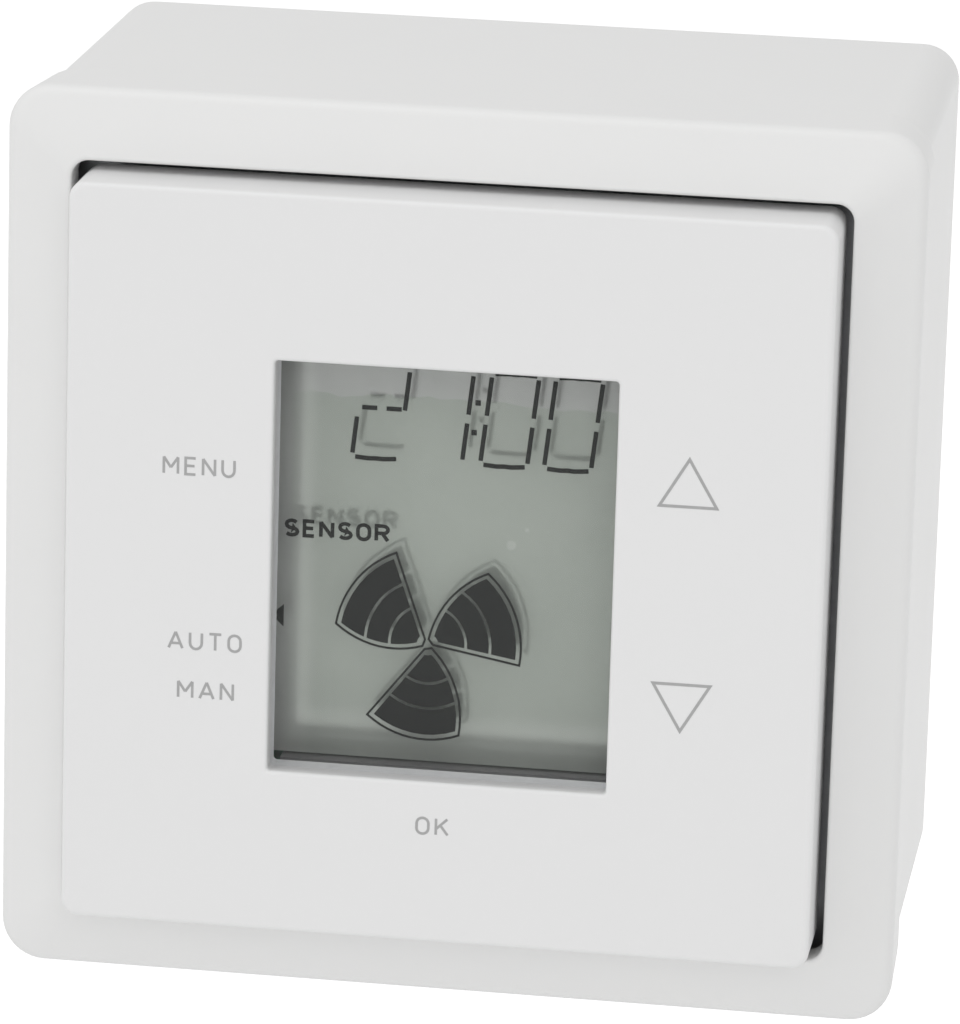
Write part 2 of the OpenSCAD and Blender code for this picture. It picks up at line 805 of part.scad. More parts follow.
// Button cell that keeps the clock running without mains.
module backup_cell() {
    on_wall() color("silver") union() {
        bar(cell_at[0], cell_at[1], power_top_z + cell_lift, cell_r, cell_t - cell_lift);
        bar(cell_at[0], cell_at[1], power_top_z + cell_lift + eps, cell_r - cell_step, cell_t - eps);
    }
}

// Cup that holds the button cell on the power board.
module cell_holder() {
    wall = 0.7;
    floor_t = 0.3;
    on_wall() color("black") difference() {
        bar(cell_at[0], cell_at[1], power_top_z, cell_r + lead_gap + wall, cell_t);
        bar(cell_at[0], cell_at[1], power_top_z + floor_t, cell_r + lead_gap, cell_t);
    }
}

// Bead that measures the room's temperature, on two legs.
module room_sensor() {
    on_wall() color("black") translate([sensor_at[0], sensor_at[1], board_top_z]) union() {
        translate([0, 0, sensor_leg]) sphere(sensor_r);
        for (s = [-1, 1]) bar(s * sensor_leg_at, 0, 0, sensor_leg_r, sensor_leg);
    }
}

// Two lamps that light the edge of the light guide.
module backlight_leds() {
    on_wall() color("white") for (s = [-1, 1])
        block(s * led_x, -(guide_h / 2 + 0.2 + led_h / 2), board_top_z, led_w, led_h, led_t);
}

// Clear sheet that spreads the lamps' light behind the display.
module light_guide() {
    on_wall() color("white") block(0, 0, guide_z, glass_w, guide_h, guide_t);
}

// Frame that holds the display's glass on the control board.
module display_holder() {
    inner_w = glass_w + 2 * fit_gap;
    inner_h = glass_h + 2 * fit_gap;
    on_wall() color("dimgray") difference() {
        slab(holder_w, holder_h, holder_lip_z + holder_lip_t - board_top_z, holder_corner_r,
            board_top_z);
        block(0, 0, board_top_z - past, inner_w, inner_h, holder_lip_z - board_top_z + past);
        block(0, 0, holder_lip_z - past, polariser_w + 2 * lead_gap, polariser_h + 2 * lead_gap,
            2 * past);
    }
}

// Reflecting film behind the display's glass.
module display_reflector() {
    on_wall() color("darkseagreen") block(0, 0, reflector_z, glass_w, rear_glass_h, reflector_t);
}

// Rear sheet of display glass.
module display_rear_glass() {
    on_wall() color("lightcyan") block(0, 0, rear_glass_z, glass_w, rear_glass_h, glass_t);
}

// Front sheet of display glass, taller than the rear one for the contact strips.
module display_front_glass() {
    on_wall() color("lightcyan") block(0, 0, front_glass_z, glass_w, glass_h, glass_t);
}

// Polarising film on the front glass.
module display_polariser() {
    on_wall() color("darkseagreen")
        block(0, 0, polariser_z, polariser_w, polariser_h, polariser_t);
}

// Two rubber strips that connect the board to the glass, above and below.
module contact_strips() {
    on_wall() color("dimgray") for (s = [-1, 1])
        block(0, s * strip_y, board_top_z, glass_w - 4, strip_w, front_glass_z - board_top_z);
}

// Key mat: a rubber sheet with a hollow dome under each key.
module key_mat() {
    on_wall() color("silver") difference() {
        union() {
            block(0, 0, board_top_z, board_w, board_h, mat_t);
            for (key = KEYS) translate([key[0], key[1], board_top_z + eps])
                cylinder(r1 = dome_r, r2 = dome_top_r, h = dome_h - eps);
        }
        for (key = KEYS) translate([key[0], key[1], board_top_z - eps])
            cylinder(r1 = dome_r - dome_wall, r2 = dome_top_r - dome_wall, h = dome_h - dome_wall);
        block(0, 0, board_top_z - past, holder_w + 2 * fit_gap, holder_h + 2 * fit_gap,
            mat_t + 2 * past);
        both_sides() block(side_lug_x + lug_t / 2, 0, board_top_z - past, lug_t + 2 * lug_gap,
            lug_w + 2 * lug_gap, mat_t + 2 * past);
        at_corners(board_screw_at, board_screw_at)
            bar(0, 0, board_top_z - past, m2_head_r + fit_gap, mat_t + 2 * past);
        block(sensor_at[0], sensor_at[1], board_top_z - past, 4, 3, mat_t + 2 * past);
    }
}

// A conducting pill under the roof of each dome.
module contact_pills() {
    roof_z = dome_top_z - dome_wall - eps;
    on_wall() color("black") for (key = KEYS)
        bar(key[0], key[1], roof_z - pill_t, pill_r, pill_t);
}

// Two level pins, held in the chassis lugs, on which the tilt ring rocks up and down.
module ring_pins() {
    on_wall() color("silver") both_sides()
        bar_x(ring_in_w / 2 + pin_inset, 0, pivot_z, pivot_r, pin_length);
}

// Tilt ring: it rocks on the level pins and carries the upright pins.
module tilt_ring() {
    on_wall() color("gray") difference() {
        slab(ring_out_w, ring_out_h, ring_t, 2, ring_z);
        slab(ring_in_w, ring_in_h, ring_t + 2 * past, 1.2, ring_z - past);
        both_sides() bar_x(ring_in_w / 2 - past, 0, pivot_z, pivot_r + running_gap,
            ring_bar + 2 * past);
        both_sides() bar_y(0, ring_in_h / 2 - past, pivot_z, pivot_r + press_gap,
            ring_bar + 2 * past);
    }
}

// Two upright pins, held in the tilt ring, on which the front plate rocks left and right.
module plate_pins() {
    on_wall() color("silver") both_sides()
        bar_y(0, ring_in_h / 2 + pin_inset, pivot_z, pivot_r, pin_length);
}

// Front plate: a square cap with a window, five plungers and two lugs for the upright pins.
module front_plate() {
    on_wall() color("white") difference() {
        union() {
            difference() {
                intersection() {
                    slab(cover_w, cover_w, skirt_depth, cover_corner_r, skirt_z);
                    union() {
                        block(0, 0, skirt_z - past, 2 * cover_w, 2 * cover_w,
                            skirt_depth - cover_chamfer + past);
                        translate([0, 0, 2 * front_z - cover_chamfer]) mirror([0, 0, 1])
                            frustum(cover_w - 2 * cover_chamfer, cover_w - 2 * cover_chamfer,
                                cover_chamfer, cover_chamfer, front_z - cover_chamfer);
                    }
                }
                slab(skirt_inside, skirt_inside, skirt_depth - cover_t + eps, skirt_inner_r,
                    skirt_z - eps);
            }
            for (key = KEYS) bar(key[0], key[1], dome_top_z + press_play, plunger_r,
                cover_back_z - dome_top_z - press_play + eps);
            both_sides() block(0, end_lug_y + lug_t / 2, pivot_z - lug_reach, lug_w, lug_t,
                cover_back_z - pivot_z + lug_reach + eps);
        }
        block(0, window_up, cover_back_z - past, window_w, window_h, cover_t + 2 * past);
        translate([0, window_up, 0])
            frustum(window_w, window_h, window_chamfer + eps, window_chamfer + eps,
                front_z - window_chamfer);
        both_sides() bar_y(0, end_lug_y - past, pivot_z, pivot_r + running_gap, lug_t + 2 * past);
    }
}

// Clear pane in the window.
module display_window() {
    pane_z = front_z - pane_recess - pane_t;
    on_wall() color("lightcyan")
        block(0, window_up, pane_z, window_w - 2 * pane_gap, window_h - 2 * pane_gap, pane_t);
}

// Pale seal that is glued behind the front plate and runs round the pane.
module window_seal() {
    on_wall() color("lightgray") translate([0, window_up, 0]) difference() {
        block(0, 0, seal_z, window_w + 2 * seal_w, window_h + 2 * seal_w, cover_back_z - seal_z);
        block(0, 0, seal_z - past, window_w, window_h, cover_back_z - seal_z + 2 * past);
    }
}

back_box();
support_plate();
plate_screws();
decor_frame();
device_housing();
chassis();
housing_screws();
power_board();
terminal_block();
terminal_clamps();
terminal_screws();
fuse_tube();
fuse_caps();
transformer_core();
transformer_winding();
relay();
film_capacitor();
smoothing_capacitors();
varistor();
choke_core();
choke_winding();
triac();
heat_sink();
board_header();
header_socket();
control_board();
board_screws();
microcontroller();
clock_crystal();
backup_cell();
cell_holder();
room_sensor();
backlight_leds();
light_guide();
display_holder();
display_reflector();
display_rear_glass();
display_front_glass();
display_polariser();
contact_strips();
key_mat();
contact_pills();
ring_pins();
tilt_ring();
plate_pins();
front_plate();
display_window();
window_seal();
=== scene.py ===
import json
import math

import bmesh
import bpy
from mathutils import Matrix, Vector


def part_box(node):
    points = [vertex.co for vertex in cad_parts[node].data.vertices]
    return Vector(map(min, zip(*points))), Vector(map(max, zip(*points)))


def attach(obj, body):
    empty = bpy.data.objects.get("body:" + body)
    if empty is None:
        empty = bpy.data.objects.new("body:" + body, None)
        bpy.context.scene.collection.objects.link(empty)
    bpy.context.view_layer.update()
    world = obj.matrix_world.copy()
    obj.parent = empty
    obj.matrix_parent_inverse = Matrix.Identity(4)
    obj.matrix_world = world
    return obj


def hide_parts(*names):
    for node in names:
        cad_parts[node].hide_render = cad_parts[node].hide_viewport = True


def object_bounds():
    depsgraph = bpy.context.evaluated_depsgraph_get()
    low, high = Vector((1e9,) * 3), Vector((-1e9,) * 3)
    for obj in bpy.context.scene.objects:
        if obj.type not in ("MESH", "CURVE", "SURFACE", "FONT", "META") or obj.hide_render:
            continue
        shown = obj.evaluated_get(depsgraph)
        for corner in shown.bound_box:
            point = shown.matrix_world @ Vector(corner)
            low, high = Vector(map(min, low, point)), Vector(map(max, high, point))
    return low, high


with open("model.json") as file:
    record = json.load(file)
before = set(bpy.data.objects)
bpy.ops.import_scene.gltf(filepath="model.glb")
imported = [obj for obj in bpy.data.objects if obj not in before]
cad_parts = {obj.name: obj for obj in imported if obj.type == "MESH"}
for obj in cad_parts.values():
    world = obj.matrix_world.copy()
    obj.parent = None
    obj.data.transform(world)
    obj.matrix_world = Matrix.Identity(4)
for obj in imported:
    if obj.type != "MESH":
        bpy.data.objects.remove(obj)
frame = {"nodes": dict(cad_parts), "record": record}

CAD_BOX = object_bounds()
MM = 0.001
MICRON = 1e-6

# How finely corners and softened edges are stepped, and what counts as one point or a sharp edge
CORNER_STEPS = 10
SOFT_STEPS = 5
SAME_POINT = 1e-7
SHARP_ANGLE = math.radians(35)

# The places that the frame gives: depths run towards the viewer along -Y.
BOX_LOW, BOX_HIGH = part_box("back_box")
FRAME_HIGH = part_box("decor_frame")[1]
PLATE_LOW, PLATE_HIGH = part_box("front_plate")
PANE_LOW, PANE_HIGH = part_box("display_window")
SEAL_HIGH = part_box("window_seal")[1]
FILM_LOW, FILM_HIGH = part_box("display_reflector")
GLASS_LOW, GLASS_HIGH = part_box("display_front_glass")
REAR_GLASS_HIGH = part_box("display_rear_glass")[1]
POLARISER_LOW, POLARISER_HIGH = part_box("display_polariser")
FRONT_Y = PLATE_LOW.y
WINDOW_Z = (PANE_LOW.z + PANE_HIGH.z) / 2
PANE_GAP = 0.05 * MM
WINDOW_HALF_W = PANE_HIGH.x + PANE_GAP
WINDOW_HALF_H = (PANE_HIGH.z - PANE_LOW.z) / 2 + PANE_GAP

# Walls, corners and openings of the back box
BOX_WALL = 2.5 * MM
BOX_CORNER = 3.5 * MM
BOX_INNER_CORNER = 2.5 * MM
POST_AT = 30 * MM
POST_R = 3.6 * MM
POST_BORE_R = 1.55 * MM
POST_BORE_LENGTH = 17 * MM
WEB_HALF = 1 * MM
CABLE_ENTRY_R = 8 * MM
CABLE_ENTRY_Z = 15 * MM
SCREW_SLOT_Z = 30 * MM
SCREW_SLOT_HALF_W = 2.2 * MM
SCREW_SLOT_HALF_H = 4.5 * MM
SCREW_SLOT_CORNER = 2.199 * MM
OVERSHOOT = 1 * MM

# The frame round the front plate: its rise is the depth of the sloping faces
FRAME_CORNER = 4 * MM
FRAME_REAR_CORNER = FRAME_CORNER + 0.7 * MM
FRAME_TAPER = 0.2 * MM
FRAME_RISE = 2.2 * MM
FRAME_WALL = 1.8 * MM
FRAME_LIP = 3.5 * MM
OPENING_Y = -49.5 * MM
OPENING_HALF = 35.6 * MM
OPENING_CORNER = 1.6 * MM

# The front plate, its skirt and its window
PLATE_THICK = 2 * MM
PLATE_CORNER = 1.5 * MM
PLATE_INNER_CORNER = 0.8 * MM
SKIRT_WALL = 1.6 * MM
SKIRT_REAR_Y = -46 * MM
WINDOW_CORNER = 0.35 * MM
WINDOW_RIM = 2.2 * MM
WINDOW_RIM_CORNER = 1.2 * MM
SEAL_GAP = 0.02 * MM
SEAL_CORNER = 0.8 * MM
GLASS_CORNER = 0.3 * MM
PRINT_THICK = 0.02 * MM


def ring(half_w, half_h, middle_z, corner, y):
    """The points of a rectangle with round corners, in the plane at depth y."""
    loop = []
    for quarter, (side_x, side_z) in enumerate(((1, 1), (-1, 1), (-1, -1), (1, -1))):
        for step in range(CORNER_STEPS + 1):
            turn = math.radians(90) * (quarter + step / CORNER_STEPS)
            x = side_x * (half_w - corner) + corner * math.cos(turn)
            z = middle_z + side_z * (half_h - corner) + corner * math.sin(turn)
            loop.append(Vector((x, y, z)))
    return loop


def square_stop(half, corner, y, soft=0.0):
    """A stop of a shell's profile that is square and centred."""
    return (half, half, 0.0, corner, y, soft)


def soften(stops, closed):
    """Rounds a profile at each stop that has a soft edge, and gives the sizes of every loop."""
    sizes = []
    for i, stop in enumerate(stops):
        soft = stop[5]
        inner = closed or 0 < i < len(stops) - 1
        if soft == 0 or not inner:
            sizes.append(stop[:5])
            continue
        before, after = stops[i - 1], stops[(i + 1) % len(stops)]
        ends = []
        for other in (before, after):
            length = math.hypot(other[0] - stop[0], other[4] - stop[4])
            share = min(soft / length, 0.5)
            ends.append([a + (b - a) * share for a, b in zip(stop[:5], other[:5])])
        for step in range(SOFT_STEPS + 1):
            t = step / SOFT_STEPS
            sizes.append([
                (1 - t) ** 2 * a + 2 * t * (1 - t) * b + t ** 2 * c
                for a, b, c in zip(ends[0], stop[:5], ends[1])
            ])
    return sizes


def skin(mesh, loops, closed):
    """Joins loops of equally many points into a solid, capped at its ends unless it is closed."""
    rows = [[mesh.verts.new(point) for point in loop] for loop in loops]
    count = len(rows[0])
    pairs = list(zip(rows, rows[1:] + rows[:1])) if closed else list(zip(rows, rows[1:]))
    for low, high in pairs:
        for i in range(count):
            j = (i + 1) % count
            mesh.faces.new((low[i], low[j], high[j], high[i]))
    if not closed:
        mesh.faces.new(rows[0])
        mesh.faces.new(rows[-1])


def finish_mesh(name, mesh):
    """Turns mesh data into an object with smooth faces and crisp edges."""
    bmesh.ops.remove_doubles(mesh, verts=mesh.verts, dist=SAME_POINT)
    bmesh.ops.recalc_face_normals(mesh, faces=mesh.faces)
    data = bpy.data.meshes.new(name)
    mesh.to_mesh(data)
    mesh.free()
    piece = bpy.data.objects.new(name, data)
    bpy.context.scene.collection.objects.link(piece)
    crisp(piece)
    return piece


def crisp(piece):
    """Shades a piece smooth, keeps its sharp edges and weighs normals by area."""
    mesh = bmesh.new()
    mesh.from_mesh(piece.data)
    for face in mesh.faces:
        face.smooth = True
    for edge in mesh.edges:
        edge.smooth = len(edge.link_faces) == 2 and edge.calc_face_angle(0) < SHARP_ANGLE
    mesh.to_mesh(piece.data)
    mesh.free()
    weigh = piece.modifiers.new("even shading", "WEIGHTED_NORMAL")
    weigh.keep_sharp = True


def shell(name, stops, closed):
    """A moulded shell from the stops of its profile."""
    mesh = bmesh.new()
    skin(mesh, [ring(*size) for size in soften(stops, closed)], closed)
    return finish_mesh(name, mesh)


def add_bar(mesh, start, end, radius, sides=32):
    """Adds a round bar between two points to mesh data."""
    along = (end - start).normalized()
    across = along.orthogonal().normalized()
    other = along.cross(across)
    circle = [
        radius * (math.cos(turn) * across + math.sin(turn) * other)
        for turn in (2 * math.pi * i / sides for i in range(sides))
    ]
    skin(mesh, [[start + p for p in circle], [end + p for p in circle]], closed=False)


def add_block(mesh, low, high, edge=0.15 * MM):
    """Adds a block with softened upright edges to mesh data."""
    middle = (low + high) / 2
    half = (high - low) / 2
    loops = []
    for y, inset in ((low.y, edge), (low.y + edge, 0), (high.y - edge, 0), (high.y, edge)):
        loop = ring(half.x - inset, half.z - inset, middle.z, edge, y)
        loops.append([p + Vector((middle.x, 0, 0)) for p in loop])
    skin(mesh, loops, closed=False)


def cut(piece, name, build, operation="DIFFERENCE"):
    """Cuts a shape out of a piece, or adds it, and keeps the result as its mesh."""
    mesh = bmesh.new()
    build(mesh)
    tool = finish_mesh(name, mesh)
    step = piece.modifiers.new(name, "BOOLEAN")
    step.operation = operation
    step.solver = "EXACT"
    step.object = tool
    graph = bpy.context.evaluated_depsgraph_get()
    result = bpy.data.meshes.new_from_object(piece.evaluated_get(graph))
    piece.modifiers.clear()
    piece.data = result
    bpy.data.objects.remove(tool)
    crisp(piece)


def place(piece, body, finish, slot, *nodes):
    """Gives a piece its finish and its body, and hides the nodes that it stands for; the slot is not used.
    """
    piece.data.materials.clear()
    piece.data.materials.append(finish)
    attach(piece, body)
    if nodes:
        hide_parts(*nodes)
    return piece


# Shader maths


class Value:
    """A number or colour that varies over a surface; sums and products of numbers add Math nodes."""

    def __init__(self, finish, socket):
        self.finish = finish
        self.socket = socket

    def maths(self, operation, first, second):
        return self.finish.node("ShaderNodeMath", {"operation": operation}, {0: first, 1: second})

    def __add__(self, other):
        return self.maths("ADD", self, other)

    def __radd__(self, other):
        return self.maths("ADD", other, self)

    def __sub__(self, other):
        return self.maths("SUBTRACT", self, other)

    def __rsub__(self, other):
        return self.maths("SUBTRACT", other, self)

    def __mul__(self, other):
        return self.maths("MULTIPLY", self, other)

    def __rmul__(self, other):
        return self.maths("MULTIPLY", other, self)

    def above(self, level, width):
        """0 well below the level, 1 well above it, and a smooth step between them."""
        limits = {1: level - width / 2, 2: level + width / 2}
        settings = {"interpolation_type": "SMOOTHSTEP"}
        return self.finish.node("ShaderNodeMapRange", settings, {0: self, **limits})


class Finish:
    """A material of one Principled surface; numbers given here are the same all over it."""

    def __init__(self, name, **constants):
        self.material = bpy.data.materials.new(name)
        self.material.use_nodes = True
        self.tree = self.material.node_tree
        self.tree.nodes.clear()
        self.surface = self.tree.nodes.new("ShaderNodeBsdfPrincipled")
        output = self.tree.nodes.new("ShaderNodeOutputMaterial")
        self.tree.links.new(self.surface.outputs[0], output.inputs[0])
        for socket, number in constants.items():
            self.surface.inputs[socket.replace("_", " ")].default_value = number
        self.place = self.node("ShaderNodeTexCoord", {}, {}, "Object")

    def node(self, kind, settings, inputs, output=0):
        """Adds a node of any type and gives the value at one of its outputs."""
        made = self.tree.nodes.new(kind)
        for name, setting in settings.items():
            setattr(made, name, setting)
        for socket, value in inputs.items():
            if isinstance(value, Value):
                self.tree.links.new(value.socket, made.inputs[socket])
            else:
                made.inputs[socket].default_value = value
        return Value(self, made.outputs[output])

    def noise(self, size, detail=2.0, roughness=0.5, at=None):
        """Cloudy noise whose features are about the given size in metres."""
        inputs = {"Vector": at or self.place, "Scale": 1 / size, "Detail": detail, "Roughness": roughness}
        return self.node("ShaderNodeTexNoise", {}, inputs, "Fac")

    def cells(self, size, feature="F1"):
        """Distance from the middle, or from the edge, of scattered cells of about the given size."""
        inputs = {"Vector": self.place, "Scale": 1 / size}
        return self.node("ShaderNodeTexVoronoi", {"feature": feature}, inputs, "Distance")

    def along(self, axis):
        """Position along one axis in metres."""
        return self.node("ShaderNodeSeparateXYZ", {}, {0: self.place}, axis)

    def distance(self, x, z):
        """Distance from a point of the front, in metres."""
        points = {0: self.stretched(1, 0, 1), 1: (x, 0, z)}
        return self.node("ShaderNodeVectorMath", {"operation": "DISTANCE"}, points, "Value")

    def stretched(self, x, y, z):
        """The surface's place with each axis scaled."""
        inputs = {0: self.place, 1: (x, y, z)}
        return self.node("ShaderNodeVectorMath", {"operation": "MULTIPLY"}, inputs)

    def folded(self, axis, half_pitch):
        """A zigzag along one axis, 0 and the half pitch at its turns."""
        return self.node("ShaderNodeMath", {"operation": "PINGPONG"}, {0: self.along(axis), 1: half_pitch})

    def mix(self, share, first, second):
        """A colour between two colours."""
        first = first if isinstance(first, Value) else (*first, 1)
        second = second if isinstance(second, Value) else (*second, 1)
        return self.node("ShaderNodeMix", {"data_type": "RGBA"}, {0: share, 6: first, 7: second}, 2)

    def paint(self, colour):
        """Gives the surface a colour that varies."""
        self.tree.links.new(colour.socket, self.surface.inputs["Base Color"])

    def roughen(self, roughness):
        """Gives the surface a roughness that varies."""
        self.tree.links.new(roughness.socket, self.surface.inputs["Roughness"])

    def emboss(self, height, depth):
        """Bumps the surface by a height from 0 to 1 times a depth in metres."""
        bump = self.node("ShaderNodeBump", {}, {"Height": height, "Distance": depth, "Strength": 1.0})
        self.tree.links.new(bump.socket, self.surface.inputs["Normal"])


def shade(colour, factor):
    """A colour made darker or paler."""
    return tuple(min(1.0, channel * factor) for channel in colour)


def moulded(name, colour, gloss, grain, depth, mottle=0.03):
    """Moulded plastic: a fine spark-eroded grain, faint flow clouds and uneven gloss."""
    finish = Finish(name, IOR=1.49)
    clouds = finish.noise(9 * MM, 3)
    speckle = finish.noise(grain * 3, 2)
    tone = 0.75 * clouds + 0.25 * speckle
    finish.paint(finish.mix(tone, shade(colour, 1 - mottle), shade(colour, 1 + mottle)))
    finish.roughen(gloss - 0.06 + 0.12 * clouds)
    finish.emboss(finish.noise(grain, 3, 0.6), depth)
    return finish.material


def plated(name, colour, gloss, grain, brushed):
    """Plated or rolled metal: fine drawing lines along X and cloudy stains."""
    finish = Finish(name, Metallic=1.0)
    stains = finish.noise(3 * MM, 4)
    lines = finish.noise(grain, 2, 0.6, finish.stretched(1 / brushed, 1, 1))
    tone = 0.6 * stains + 0.4 * lines
    finish.paint(finish.mix(tone, shade(colour, 0.78), shade(colour, 1.08)))
    finish.roughen(gloss - 0.1 + 0.2 * lines)
    finish.emboss(lines, 4 * MICRON)
    return finish.material


def laminated(name, colour):
    """Stacked iron sheets with a dark varnish between them."""
    finish = Finish(name, Metallic=0.8)
    gaps = 1 - finish.folded("Z", 0.25 * MM).above(0.06 * MM, 0.06 * MM)
    finish.paint(finish.mix(gaps, colour, shade(colour, 0.25)))
    finish.roughen(0.45 + 0.3 * finish.noise(1.5 * MM, 3))
    finish.emboss(1 - gaps, 20 * MICRON)
    return finish.material


def wound(name, colour):
    """Turns of enamelled wire, seen as ridges, with painted shade in the grooves between them."""
    finish = Finish(name, Metallic=0.9)
    ridge = finish.folded("X", 0.2 * MM).above(0.1 * MM, 0.16 * MM)
    # Painted shade: the colour darkens in the grooves between the turns
    finish.paint(finish.mix(ridge, shade(colour, 0.3), colour))
    finish.roughen(0.3 + 0.15 * finish.noise(2 * MM))
    finish.emboss(ridge, 60 * MICRON)
    return finish.material


def circuit(name, colour):
    """Lacquered circuit board: copper tracks under lacquer and the weave of the glass cloth."""
    finish = Finish(name, IOR=1.5)
    bare = finish.cells(5 * MM).above(0.9, 0.2)
    tracks = 1 - finish.cells(4 * MM, "DISTANCE_TO_EDGE").above(0.1, 0.06)
    weave = finish.noise(0.3 * MM, 1)
    base = finish.mix(weave, shade(colour, 0.8), shade(colour, 1.15))
    finish.paint(finish.mix(tracks * (1 - bare), base, shade(colour, 1.7)))
    finish.roughen(0.25 + 0.2 * weave)
    finish.emboss(tracks, 35 * MICRON)
    return finish.material


def potted(name, colour):
    """Poured resin or tape: cloudy depth and a soft gloss."""
    finish = Finish(name, IOR=1.5, Coat_Weight=0.3)
    clouds = finish.noise(2.5 * MM, 4, 0.6)
    finish.paint(finish.mix(clouds, shade(colour, 0.7), shade(colour, 1.25)))
    finish.roughen(0.3 + 0.25 * clouds)
    finish.emboss(finish.noise(1.2 * MM, 2), 30 * MICRON)
    return finish.material


def rubber(name, colour):
    """Silicone rubber: matt, with dust and a soft skin."""
    finish = Finish(name, IOR=1.42, Sheen_Weight=0.15, Sheen_Roughness=0.6)
    dust = finish.noise(0.8 * MM, 5, 0.7)
    finish.paint(finish.mix(dust, shade(colour, 0.85), shade(colour, 1.2)))
    finish.roughen(0.6 + 0.25 * dust)
    finish.emboss(finish.noise(0.25 * MM, 3), 8 * MICRON)
    return finish.material


def clear(name, colour, see_through):
    """Clear glass or acrylic: nearly invisible, with faint wiping marks."""
    finish = Finish(name, IOR=1.49, Alpha=1 - see_through)
    marks = finish.noise(6 * MM, 2, 0.5, finish.stretched(1, 1, 0.4))
    finish.paint(finish.mix(marks, colour, shade(colour, 1.15)))
    finish.roughen(0.05 + 0.06 * marks)
    return finish.material


# The film behind the display: a glued margin at its top and left, painted light in paler bands
# inside its left and bottom edges to offset the shade and reflected surround there, and spots given
# by their place and size in millimetres
FILM_PALE = (0.43, 0.475, 0.425), (0.48, 0.52, 0.47)
FILM_GLUED = (0.56, 0.575, 0.555), (0.50, 0.52, 0.50)
FILM_PAINTED_LIGHT = (0.85, 0.88, 0.84)
FILM_SPOT = (0.62, 0.64, 0.61)
# The first spot is a pale round patch round the mode pointer; the other two are small specks
FILM_SPOTS = ((-15.9, -5.4, 1.5), (5.3, 1.4, 0.45), (6.7, 2.9, 0.22))
TOP_MARGIN = 3.9 * MM
LEFT_MARGIN = 1.9 * MM
BOTTOM_PAINTED_LIGHT_HEIGHT = 4.2 * MM
LEFT_PAINTED_LIGHT_WIDTH = 4.1 * MM
PAINTED_LIGHT_BLUR = 2.6 * MM


def reflecting_film():
    """Grey-green reflecting film: a paler glued margin with a wavy edge, painted light in paler bands, a
    pale patch round the pointer and two specks.
    """
    finish = Finish("display film", Metallic=0.38, IOR=1.4)
    x = finish.along("X")
    z = finish.along("Z")
    wave = finish.noise(2.6 * MM, 1)
    creep = finish.noise(9 * MM, 1)
    margin = (z + 1.5 * MM * wave + 1.2 * MM * creep).above(FILM_HIGH.z - TOP_MARGIN, 0.25 * MM)
    left = (x - 0.9 * MM * wave).above(FILM_LOW.x + LEFT_MARGIN, 0.5 * MM)
    body = finish.mix(finish.noise(5 * MM, 4), *FILM_PALE)
    glued = finish.mix(wave, *FILM_GLUED)
    tone = finish.mix(1 - left, body, glued)
    tone = finish.mix(margin, tone, glued)
    # Painted light: paler bands inside the left and bottom edges offset the darker shade and reflected
    # surround that show there
    low_painted_light = 1 - z.above(FILM_LOW.z + BOTTOM_PAINTED_LIGHT_HEIGHT, PAINTED_LIGHT_BLUR)
    left_painted_light = 1 - x.above(FILM_LOW.x + LEFT_PAINTED_LIGHT_WIDTH, PAINTED_LIGHT_BLUR)
    tone = finish.mix(0.3 * low_painted_light, tone, FILM_PAINTED_LIGHT)
    tone = finish.mix(0.45 * left_painted_light, tone, FILM_PAINTED_LIGHT)
    for spot_x, spot_z, size in FILM_SPOTS:
        spot = 1 - finish.distance(spot_x * MM, spot_z * MM).above(size * MM, 0.25 * MM)
        tone = finish.mix(0.5 * spot, tone, FILM_SPOT)
    finish.paint(tone)
    finish.roughen(0.15 + 0.04 * creep)
    finish.emboss(finish.noise(2.4 * MM, 1), 0.6 * MICRON)
    return finish.material


def printed(name, colour, index=1.45):
    """Ink: slightly uneven cover and a dull surface."""
    finish = Finish(name, IOR=index)
    cover = finish.noise(0.4 * MM, 3)
    finish.paint(finish.mix(cover, shade(colour, 0.92), shade(colour, 1.08)))
    finish.roughen(0.5 + 0.2 * cover)
    finish.emboss(finish.noise(1.5 * MM, 1), 2 * MICRON)
    return finish.material


